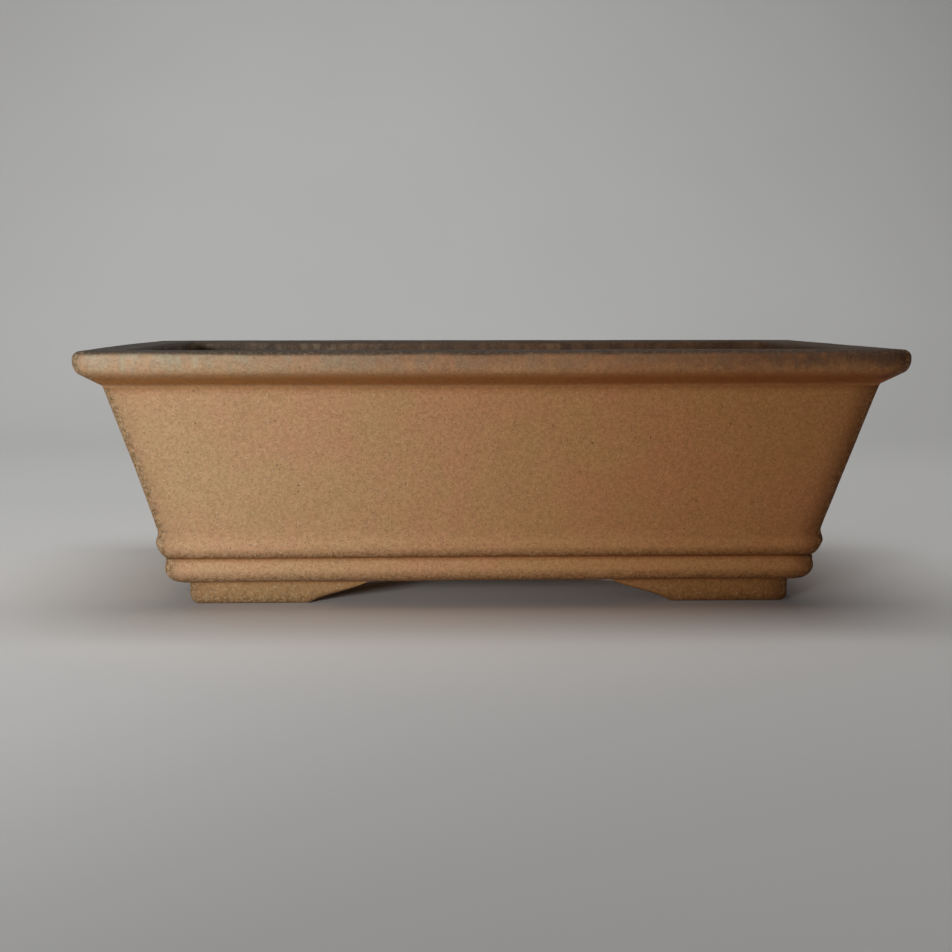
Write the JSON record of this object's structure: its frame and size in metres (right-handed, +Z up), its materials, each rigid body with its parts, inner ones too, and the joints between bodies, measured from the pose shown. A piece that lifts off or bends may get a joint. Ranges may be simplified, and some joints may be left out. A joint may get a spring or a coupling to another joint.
{
  "type": "bonsai pot",
  "caption": "Rectangular unglazed stoneware bonsai pot with flared walls, a rolled outer rim, bead and band mouldings, drainage and tie-wire holes, and cloud-cut bracket feet.",
  "frame": {"origin": "centre of the footprint, on the surface that the four feet stand on", "axes": "+Z up towards the open mouth, +X along the pot's length, -Y the front; lengths in metres"},
  "size_m": [0.3, 0.2, 0.097],
  "materials": {
    "body_clay": "unglazed tan-brown sandy stoneware, matt",
    "moulding_clay": "unglazed tan stoneware, wiped smooth, matt",
    "rim_clay": "unglazed stoneware, kiln-darkened to grey-brown on top, satin",
    "foot_clay": "unglazed coarse sandy stoneware, matt"
  },
  "bodies": {
    "root": {"floor_slab": "body_clay", "wall_front": "body_clay", "wall_back": "body_clay", "wall_left": "body_clay", "wall_right": "body_clay", "rim_front": "rim_clay", "rim_back": "rim_clay", "rim_left": "rim_clay", "rim_right": "rim_clay", "bead_front": "moulding_clay", "bead_back": "moulding_clay", "bead_left": "moulding_clay", "bead_right": "moulding_clay", "band_front": "moulding_clay", "band_back": "moulding_clay", "band_left": "moulding_clay", "band_right": "moulding_clay", "foot_front_left": "foot_clay", "foot_front_right": "foot_clay", "foot_back_left": "foot_clay", "foot_back_right": "foot_clay"}
  },
  "joints": []
}
